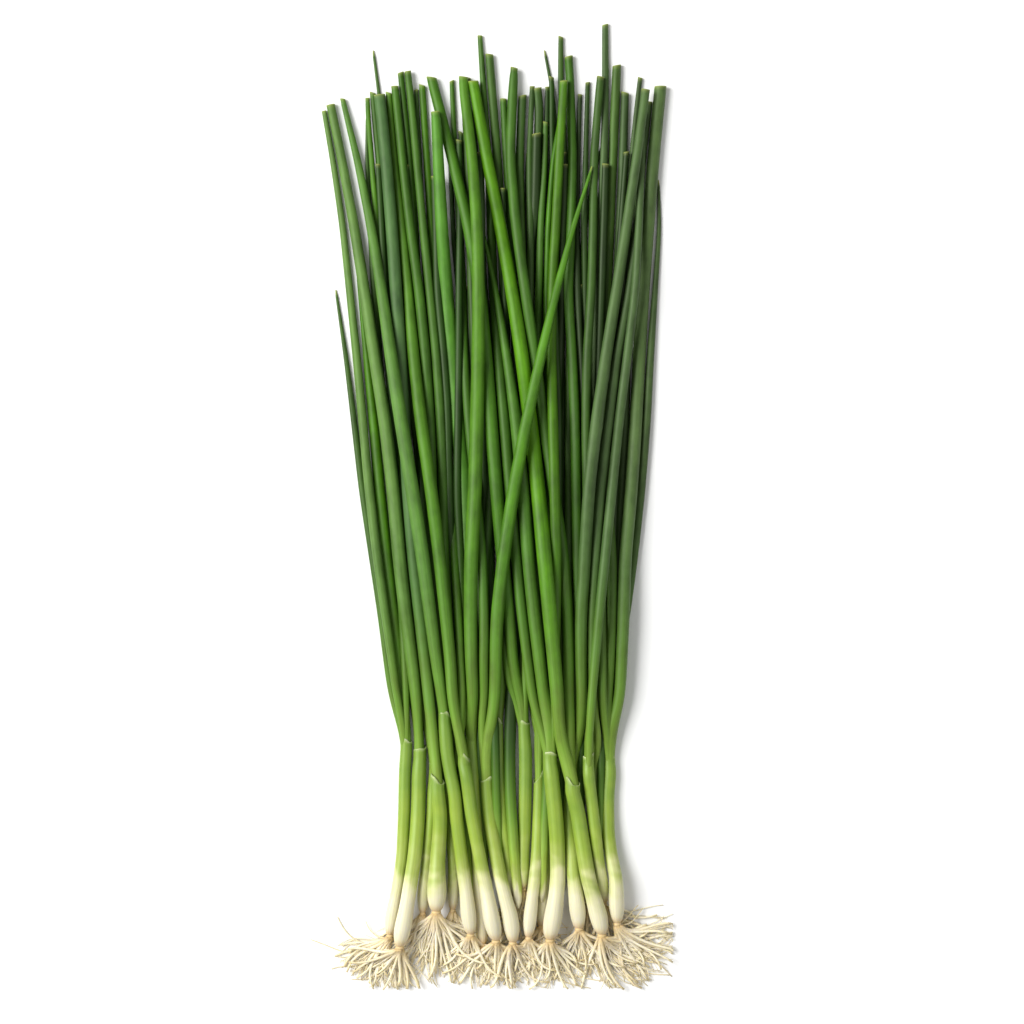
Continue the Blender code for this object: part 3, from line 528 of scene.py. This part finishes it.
def tube_rows(fine, cut):
    """The rings of one blade, closed at its foot, with a point or an open cut end at its tip."""
    rows = [(fine[0, 0] - 0.3, *fine[0, 1:3], 0.0, 0.0, 0.0)]
    rows += [(*r[:3], r[3] / 2, r[4] / 2, 0.0) for r in fine[:-1]]
    dry = [0.0] * len(rows)
    tip = (*fine[-1, :3], fine[-1, 3] / 2, fine[-1, 4] / 2)
    if not cut:
        rows.append((tip[0], *tip[1:3], 0.22, 0.2, 0.0))
        rows.append((tip[0] + 0.25, *tip[1:3], 0.0, 0.0, 0.0))
        return rows, dry + [0.8, 1.0]
    slant = 0.35 * math.sin(2.4 * tip[0])
    near = rows[-1]
    wide, high = tip[3], tip[4]
    for share, dryness in ((0.3, 0.0), (0.75, 0.2), (1.0, 0.8)):
        place = [a + (b - a) * share for a, b in zip(near[:3], tip[:3])]
        rows.append((*place, wide, high, slant * share))
        dry.append(dryness)
    rows.append((tip[0] + 0.02, *tip[1:3], wide - WALL * 0.5, high - WALL * 0.5, slant))
    rows.append((tip[0] - 0.05, *tip[1:3], wide - WALL, high - WALL, slant))
    back = [np.interp(tip[0] - HOLE_DEPTH, fine[:, 0], fine[:, k]) for k in (1, 2)]
    rows.append((tip[0] - HOLE_DEPTH, *back, wide - WALL * 1.2, high - WALL * 1.2, 0.0))
    rows.append((tip[0] - HOLE_DEPTH, *back, 0.0, 0.0, 0.0))
    return rows, dry + [1.0, 0.7, 0.1, 0.1]


def grow_blade(bm, fine, cut, greening, green, wax):
    """Rolls one blade with its own furrow, tone and wax."""
    rows, dry = tube_rows(fine, cut)
    groove = (shake.random() * 2 * math.pi, 0.03 + 0.1 * shake.random(), (shake.random() - 0.5) * 0.03)
    marks = {
        "rise": rises(rows, *greening),
        "seed": float(shake.random() * 60),
        "dry": dry,
        "bloom": float(wax),
        "own_green": linear(green),
    }
    roll_sheet(bm, rows, BLADE_AROUND, marks, groove)


GREENING = (SOIL_DEPTH, SKIN_SPAN)
blade_fine = {}
for name, lines in leaf_lines.items():
    bm = start_sheet()
    widest = max(range(len(lines)), key=lambda k: lines[k][0][3])
    blade_fine[name] = []
    for k, line in enumerate(lines):
        look = look_of(name, line[-1])
        fine = eased(grown_line(name, line, 0.96 if k == widest else 0.7), BLADE_STEP, 7)
        fine[:, 3:5] *= np.interp(fine[:, 0], COLLARS[name] + np.array([8, 30]), [1.0, FULLER])[:, None]
        blade_fine[name].append(fine)
        grow_blade(bm, fine, line[-1][3] >= POINTED, GREENING, look[2], look[3])
    finish_piece(bm, f"plant_{name}_blades", blade_skin, [f"plant_{name}_leaves"])

# Side shoots and inner leaves. They lie low down between the others and fill the bunch's middle: nine thin
# second shoots, pale at the foot, and six leaves that grow from the sleeve nearest to them. Their very dark
# greens are painted shade in the gaps between the blades. Each is led through the room between its
# neighbours, but there is too little of it, so many run through a neighbour.
SHOOT_STEP = 4.0
SHOOT_ASIDE = np.linspace(-3.6, 3.6, 13)
SHOOT_ALOFT = np.linspace(0.0, 2.4, 7)
# The shoots go from their pale foot to their dark green over a short run, which darkens them low down as
# painted shade.
SHOOT_GREENING_AND_SHADE = (8.0, 150.0)
CLEAR_OF_SLEEVE = 16.0

# Thickness and grown green of each, and where it should run (along, across).
SIDE_SHOOTS = [
    (
        3.7,
        PAINTED_SHADE_GREEN,
        [(12, 3.4), (31, 2.0), (48, 0.7), (61, 0.4), (78, 0.8), (150, 3.2), (240, 5.2), (268, 5.8)],
    ),
    (2.8, DEEP_GREEN_AND_SHADE, [(14, -2.6), (26, -3.4), (48, -4.4), (78, -5.0), (150, -6.4), (236, -7.5), (262, -7.9)]),
    (
        3.0,
        MOSS,
        [(14, -23.0), (24, -23.8), (48, -22.6), (78, -23.2), (150, -26.5), (236, -30.4), (258, -31.5)],
    ),
    (3.0, PAINTED_SHADE_GREEN, [(14, 8.2), (24, 8.6), (48, 9.6), (78, 11.2), (150, 14.5), (236, 17.4), (260, 18)]),
    (3.0, PAINTED_SHADE_GREEN, [(14, 23.4), (24, 23.0), (48, 22.6), (78, 23.6), (150, 27.5), (236, 30.4), (258, 31)]),
    (
        2.8,
        DEEP_GREEN_AND_SHADE,
        [(14, -13.0), (24, -13.6), (48, -15.6), (78, -17.0), (150, -19.5), (236, -21.4), (256, -22)],
    ),
    (2.4, PAINTED_SHADE_GREEN, [(16, 30.4), (48, 30.6), (66, 31.0), (78, 31.4), (150, 33.5), (236, 37)]),
    (2.4, PAINTED_SHADE_GREEN, [(18, -8.0), (39, -8.4), (60, -9.4), (78, -10.2), (150, -12.5), (220, -13.5)]),
    (2.4, PAINTED_SHADE_GREEN, [(18, 17.6), (39, 17.4), (53, 17.6), (78, 18.6), (150, 21.5), (220, 24)]),
]
INNER_LEAVES = [
    (2.6, DEEP_GREEN_AND_SHADE, [(50, 2.2), (90, 1.0), (150, -1.6), (200, -3.2), (250, -4.2)]),
    (
        1.9,
        DEEP_GREEN_AND_SHADE,
        [(50, -17), (150, -17), (213, -16.8), (221, -17.4), (229, -18.4), (238, -18.9), (262, -19.9)],
    ),
    (2.8, DEEP_GREEN_AND_SHADE, [(50, -17.5), (100, -19), (150, -18), (200, -17.4), (240, -17.2), (266, -17.4)]),
    (2.8, PAINTED_SHADE_GREEN, [(50, 12.0), (100, 13), (150, 15), (200, 18), (240, 20.5), (264, 22)]),
    (2.6, PAINTED_SHADE_GREEN, [(50, 24.0), (100, 27), (150, 30), (200, 34), (240, 37), (262, 38.6)]),
    (2.6, DEEP_GREEN_AND_SHADE, [(50, -31.0), (100, -34), (150, -37), (200, -40), (240, -42), (258, -43)]),
]

# The lines of the added shoots and leaves that lie already.
laid = []


def obstacles_at(along):
    """(across, up, half size) of every stem, blade and laid shoot at a station."""
    rows = []
    blades = [blade for grown in blade_fine.values() for blade in grown]
    for line in [*stem_fine.values(), *blades, *laid]:
        if line[0, 0] - 1 <= along <= line[-1, 0] + 1:
            across, up, wide, high = [np.interp(along, line[:, 0], line[:, k]) for k in (1, 2, 3, 4)]
            rows.append((across, up, (wide + high) / 4))
    return np.array(rows)


def threaded(aim, width):
    """A route near the aim through the room between the others, chosen for the whole length at once."""
    stations = np.arange(aim[0][0], aim[-1][0] + 0.1, SHOOT_STEP)
    aside, aloft = [grid.ravel() for grid in np.meshgrid(SHOOT_ASIDE, SHOOT_ALOFT)]
    moving = 9.0 * ((aside[:, None] - aside) ** 2 + (aloft[:, None] - aloft) ** 2)
    half = width / 2
    total = np.zeros(len(aside))
    came_from = []
    for along in stations:
        middle = np.interp(along, [p[0] for p in aim], [p[1] for p in aim])
        others = obstacles_at(along)
        gap_x = middle + aside[:, None] - others[:, 0]
        gap_z = half + aloft[:, None] - others[:, 1]
        short = np.clip(half + others[:, 2] + 0.1 - np.hypot(gap_x, gap_z), 0, None)
        best = (total[None, :] + moving).argmin(axis=1)
        came_from.append(best)
        total = (total[None, :] + moving).min(axis=1)
        total = total + (short**2).sum(axis=1) + 0.03 * aside**2 + 0.1 * aloft
    at = int(total.argmin())
    route = []
    for along, before in zip(stations[::-1], came_from[::-1]):
        middle = np.interp(along, [p[0] for p in aim], [p[1] for p in aim])
        share = (along - stations[0]) / (stations[-1] - stations[0])
        full = width * min(1.0, 0.8 + share) * (1 - 0.24 * max(0.0, share - 0.5) / 0.5)
        route.append((along, middle + aside[at], half + aloft[at], full, full * 0.86))
        at = int(before[at])
    return route[::-1]


def low_stem(aim):
    """The plant low in the bunch whose sleeve ends nearest to where an inner leaf should start."""

    def distance(name):
        stem = stem_fine[name]
        across, up = [np.interp(COLLARS[name], stem[:, 0], stem[:, k]) for k in (1, 2)]
        wanted = np.interp(COLLARS[name], [p[0] for p in aim], [p[1] for p in aim])
        return abs(across - wanted) + max(0.0, up - 3)

    return min(COLLARS, key=distance)


for count, (width, green, aim) in enumerate(SIDE_SHOOTS):
    fine = eased(threaded(aim, width), BLADE_STEP, 10)
    fine[:, 3:5] *= np.interp(fine[:, 0], aim[0][0] + np.array([0, 1, 3, 6]), [0.3, 0.7, 1.0, 1.1])[:, None]
    laid.append(fine)
    bm = start_sheet()
    grow_blade(bm, fine, True, SHOOT_GREENING_AND_SHADE, green, 0.1)
    parent = low_stem(aim)
    finish_piece(bm, f"side_shoot_{count + 1}", blade_skin, [f"plant_{parent}_leaves"])

for count, (width, green, aim) in enumerate(INNER_LEAVES):
    parent = low_stem(aim)
    route = [row for row in threaded(aim, width) if row[0] > COLLARS[parent] + CLEAR_OF_SLEEVE]
    fine = eased(grown_line(parent, route, 0.6), BLADE_STEP, 10)
    laid.append(fine)
    bm = start_sheet()
    grow_blade(bm, fine, True, GREENING, green, 0.1)
    finish_piece(bm, f"inner_leaf_{count + 1}", blade_skin, [f"plant_{parent}_leaves"])

# Root plates and roots. A tan corky plate closes each bulb, and a tuft of cream, thread-thin roots hangs
# from it. They fan out under the bulbs, sink to the table and lie there across each other, a few straying
# far out.
ROOT_STEPS = 10
STRAY_STEPS = 14
ROOT_STOPS = [
    (0.0, "#D5B680"),
    (0.1, "#EBD6A8"),
    (0.35, "#F9EFD2"),
    (0.85, "#F8EDCB"),
    (1.0, "#E2CFA2"),
]

# Washed roots: cream and silky, tan where they leave the plate, greyer and thinner at the tips.
root_skin, tree, shader = new_skin(
    "washed_roots", roughness=0.45, subsurface=0.2, coat=0.0, shine=0.4
)
out = marked(tree, "rise")
root_colour = add(tree, "ShaderNodeValToRGB", {"Fac": out}, stops=ROOT_STOPS).outputs["Color"]
grain_at = add(tree, "ShaderNodeTexCoord").outputs["Object"]
grain = add(tree, "ShaderNodeTexNoise", {"Vector": grain_at, "Scale": 900.0, "Detail": 3.0}).outputs["Fac"]
root_colour = shaded(tree, root_colour, ranged(tree, grain, 0.3, 0.7, 0.88, 1.05))
toned = ranged(tree, marked(tree, "seed"), 0.4, 1.0, 0.0, 0.4)
root_colour = mixed(tree, toned, root_colour, linear("#CDB27C"))
tree.links.new(root_colour, shader.inputs["Base Color"])
emboss(tree, shader, grain, 0.3, 0.00008)

# Each tuft: how many thick and how many fine roots, the way its fan turns (degrees, 0 straight down the
# bunch, minus to the left), how wide it opens to each side, how far it bends outwards, and its reach.
TUFTS = {
    "01": (13, 46, -44, 26, 8, 17),
    "02": (14, 56, -26, 42, -4, 17),
    "03": (9, 22, -12, 40, -8, 18),
    "04": (16, 60, 0, 38, 0, 23),
    "05": (7, 16, 0, 40, 0, 19),
    "06": (11, 40, 0, 50, 6, 15),
    "07": (10, 20, -4, 50, 0, 14),
    "08": (11, 40, -10, 56, -10, 14),
    "09": (13, 46, 14, 56, 16, 17),
    "10": (6, 12, 0, 40, 0, 20),
    "11": (7, 14, 4, 44, 0, 20),
    "12": (10, 36, -4, 58, 4, 15),
    "13": (7, 16, 4, 48, 6, 18),
    "14": (12, 44, 0, 52, 4, 16),
    "15": (10, 36, 8, 46, 10, 17),
    "16": (8, 18, 12, 46, 12, 19),
    "17": (14, 56, 24, 42, 26, 21),
    "18": (8, 34, 20, 38, 12, 21),
    "19": (13, 50, 30, 24, 20, 21),
}
OUTWARDS = 14.0
CURL_VARIES = 26.0
TABLE_UP = 0.3
ROOT_FLOOR = -15.6
ROOT_SIDES = (-65.4, 54.6)

# The longest roots stray out of the mat on both sides: (along, across, up) points, from the plate outwards.
STRAYS = {
    "01": [
        [(1.6, -39.5, 1.8), (-3.6, -45, 1.0), (-3.8, -54, 0.4), (-0.6, -61, 0.3), (0.9, -65.4, 0.3)],
        [(1.6, -39.5, 1.8), (-0.5, -46, 1.2), (0.2, -50.5, 0.7), (4.0, -54.6, 0.4), (8.4, -56.6, 0.4)],
        [(1.6, -39.5, 1.8), (1.8, -43.2, 1.6), (4.4, -46.2, 1.2), (7.2, -47.2, 1.0)],
        [(1.6, -39.5, 1.8), (-5, -44, 0.9), (-8.6, -52, 0.4), (-7.2, -56.2, 0.3), (-8.8, -58.6, 0.3)],
        [(1.6, -39.5, 1.8), (-9, -42, 0.9), (-12.6, -46, 0.4), (-12.2, -52, 0.3)],
    ],
    "19": [
        [(6.0, 36.4, 4.0), (8.6, 39.4, 3.4), (12.2, 42.6, 2.0), (12.6, 43.2, 1.8)],
        [(6.0, 36.4, 4.0), (6.6, 40.6, 3.0), (10.2, 43.8, 1.6), (11.4, 44.6, 1.4)],
        [(6.0, 36.4, 4.0), (3.6, 42.0, 2.6), (1.2, 47.6, 1.2), (-2.4, 50.8, 0.5), (-4.8, 48.0, 0.4)],
        [(6.0, 36.4, 4.0), (0.6, 42.6, 2.2), (-2.2, 49.6, 0.8), (2.6, 54.4, 0.4)],
        [(6.0, 36.4, 4.0), (-1.6, 43.0, 1.8), (-6.6, 50.0, 0.6), (-11.4, 54.4, 0.4)],
    ],
    "17": [
        [(1.5, 29.5, 3.4), (-7.0, 36.0, 1.8), (-10.4, 45.0, 0.5), (-10.8, 53.6, 0.4)],
        [(1.5, 29.5, 3.4), (-8.0, 32.0, 1.8), (-12.2, 40.0, 0.5), (-12.6, 47.0, 0.4)],
    ],
    "09": [
        [(0.0, 3.0, 3.4), (-6.4, 7.0, 2.2), (-11.4, 14.6, 0.9), (-14.6, 22.6, 0.4), (-15.2, 27.4, 0.3)],
        [(0.0, 3.0, 3.4), (-5.4, 8.0, 2.4), (-9.4, 16.6, 1.2), (-12.2, 26.0, 0.5), (-13.0, 33.4, 0.3)],
    ],
}


def lay_root(bm, path, thick, thin, tone, sides):
    """One root: a small ring drawn out along its path, ring by ring, and closed at the tip."""
    layers = {name: bm.verts.layers.float[name] for name in ("rise", "seed")}
    ring = bmesh.ops.create_circle(bm, cap_ends=True, segments=sides, radius=thick * MM)["verts"]
    order = list(ring)
    face = order[0].link_faces[0]
    for k, here in enumerate(path):
        if k:
            grown = bmesh.ops.extrude_face_region(bm, geom=[face])["geom"]
            if k > 1:
                bm.faces.remove(face)
            face = [g for g in grown if isinstance(g, bmesh.types.BMFace)][0]
            fresh = set(face.verts)
            order = [next(e.other_vert(v) for e in v.link_edges if e.other_vert(v) in fresh) for v in order]
        heading = path[min(k + 1, len(path) - 1)] - path[max(k - 1, 0)]
        side = heading.cross(Vector((0, 0, 1))).normalized()
        top = side.cross(heading).normalized()
        share = k / (len(path) - 1)
        r = thick + (thin - thick) * share**1.6
        for j, vert in enumerate(order):
            turn = 2 * math.pi * j / sides
            place = here + (side * math.cos(turn) + top * math.sin(turn)) * r
            place.z = max(place.z, 0.03)
            vert.co = Vector((place.x + MIDDLE_LINE, place.y + BASE_LINE, place.z)) * MM
            vert[layers["rise"]] = share
            vert[layers["seed"]] = tone


def root_path(start, heading, bend, reach, settle, sway):
    """A root leaves the plate along its heading, droops to the table and bends as it runs out there."""
    path = []
    for k in range(ROOT_STEPS):
        s = k / (ROOT_STEPS - 1)
        turn = heading + bend * s + sway * math.sin(2.6 * s)
        x = start.x + math.sin(turn) * reach * s
        y = start.y - math.cos(turn) * reach * s
        z = settle + (start.z - settle) * max(0.0, 1 - s * 1.5) ** 1.6
        x = min(max(x, ROOT_SIDES[0]), ROOT_SIDES[1])
        y = max(y, ROOT_FLOOR + 0.8 * math.sin(5 * x) ** 2)
        path.append(Vector((x, y, z)))
    return path


def stray_path(points):
    """The points of one long root, run through with an even smooth line."""
    points = np.array(points)
    steps = np.concatenate([[0], np.cumsum(np.linalg.norm(np.diff(points, axis=0), axis=1))])
    even = np.linspace(0, steps[-1], STRAY_STEPS)
    line = np.column_stack([np.interp(even, steps, points[:, k]) for k in range(3)])
    for _ in range(4):
        line[1:-1] += 0.5 * ((line[:-2] + line[2:]) / 2 - line[1:-1])
    return [Vector((across, along, up)) for along, across, up in line]


# The plate's rings: how far up the bunch each lies, and its half width and half height as shares of the
# stem's half width.
PLATE_AROUND = 18
PLATE = [
    (0.35, 0.0, 0.0),
    (0.2, 0.86, 0.8),
    (-0.2, 0.98, 0.92),
    (-0.6, 0.92, 0.88),
    (-1.05, 0.7, 0.66),
    (-1.35, 0.4, 0.4),
    (-1.45, 0.0, 0.0),
]
MAT_EDGE = 13.2


def grow_root(bm, line, fan, share, fine):
    """Grows one thick or fine root from the plate, at its share of the way across the fan."""
    way, opened, bend, reach = fan
    along, across, up = line[0, :3]
    half = line[0, 3] / 2
    heading = math.radians(way + opened * (2 * share - 1) * (0.8 + 0.3 * shake.random()))
    ring_turn = math.pi * (1 - share) + (shake.random() - 0.5) * 0.9
    above = 1 if shake.random() < 0.7 else -1
    begin_across = across + half * 0.6 * math.cos(ring_turn)
    begin_up = up + half * 0.65 * math.sin(ring_turn) * above
    begin = Vector((begin_across, along - 0.8, begin_up))
    curl = math.radians(bend + OUTWARDS * (2 * share - 1) + CURL_VARIES * (shake.random() - 0.5))
    last = heading + curl
    room = (along + MAT_EDGE + 2 * shake.random()) / max(0.25, math.cos(last))
    long = min(reach * (0.66 + 0.5 * shake.random()), room)
    settle = TABLE_UP + (1.2 if fine else 2.8) * shake.random() * (1 if up > 4 else 0.5)
    sway = (shake.random() - 0.5) * 0.8
    thick = 0.16 + 0.1 * shake.random() if fine else 0.48 + 0.18 * shake.random()
    path = root_path(begin, heading, curl, long, settle, sway)
    tone = float(shake.random()) * (0.6 if fine else 1.0)
    lay_root(bm, path, thick, thick * 0.55, tone, 4 if fine else 6)


for name, (thick_count, fine_count, *fan) in TUFTS.items():
    line = stem_fine[name]
    along, across, up = line[0, :3]
    half = line[0, 3] / 2
    bm = start_sheet()
    plate = [(along + ahead, across, up, half * wide, half * high, 0.0) for ahead, wide, high in PLATE]
    marks = {"rise": 0.03, "seed": 0.5, "dry": 0.0, "bloom": 0.0, "own_green": PLAIN_GREEN}
    roll_sheet(bm, plate, PLATE_AROUND, marks)
    for count, fine in ((thick_count, False), (fine_count, True)):
        for k in range(count):
            grow_root(bm, line, fan, k / count + 0.7 * shake.random() / count, fine)
    for points in STRAYS.get(name, []):
        lay_root(bm, stray_path(points), thick=0.3, thin=0.14, tone=0.95, sides=5)
    finish_piece(bm, f"plant_{name}_root_tuft", root_skin, [f"plant_{name}_roots"])

# The table: a plain pale top under soft studio light. A broad lamp stands to the left, as in the photograph,
# a weak one to the right, and the room's white walls fill the rest.
floor_mesh = bpy.data.meshes.new("table_top")
bm = bmesh.new()
bmesh.ops.create_grid(bm, x_segments=1, y_segments=1, size=3.0)
bm.to_mesh(floor_mesh)
bm.free()
floor = bpy.data.objects.new("table_top", floor_mesh)
bpy.context.scene.collection.objects.link(floor)
paper = bpy.data.materials.new("matt_white_paper")
paper.use_nodes = True
paper.node_tree.nodes["Principled BSDF"].inputs["Base Color"].default_value = linear("#F7F7F6")
paper.node_tree.nodes["Principled BSDF"].inputs["Roughness"].default_value = 0.9
floor_mesh.materials.append(paper)

world = bpy.data.worlds.new("white_room")
world.use_nodes = True
world.node_tree.nodes["Background"].inputs["Color"].default_value = linear("#FBFBFA")
world.node_tree.nodes["Background"].inputs["Strength"].default_value = 0.32
bpy.context.scene.world = world
bpy.context.scene.view_settings.view_transform = "Standard"


def lamp(name, place, size, power):
    """A square soft lamp that looks at the middle of the bunch."""
    light = bpy.data.lights.new(name, "AREA")
    light.size = size
    light.energy = power
    holder = bpy.data.objects.new(name, light)
    holder.location = place
    holder.rotation_euler = (-Vector(place)).to_track_quat("-Z", "Y").to_euler()
    bpy.context.scene.collection.objects.link(holder)


lamp("window_left", (-0.85, 0.3, 0.9), 0.8, 25.0)
lamp("card_right", (0.8, -0.2, 0.9), 0.9, 2.5)

# The camera looks straight down on the bunch, from where the photograph looked at it standing.
PHOTO_SIDE = 1024
PIXEL_SIZE = 0.33
FIELD = PHOTO_SIDE * PIXEL_SIZE * MM
LENS = 100.0
SENSOR = 36.0
PICTURE_MIDDLE = (0.00677, -0.0015)
BUNCH_MIDDLE_UP = 0.006
camera_data = bpy.data.cameras.new("camera")
camera_data.lens = LENS
camera_data.sensor_width = SENSOR
camera = bpy.data.objects.new("camera", camera_data)
camera.location = (*PICTURE_MIDDLE, BUNCH_MIDDLE_UP + FIELD * LENS / SENSOR)
bpy.context.scene.collection.objects.link(camera)
bpy.context.scene.camera = camera
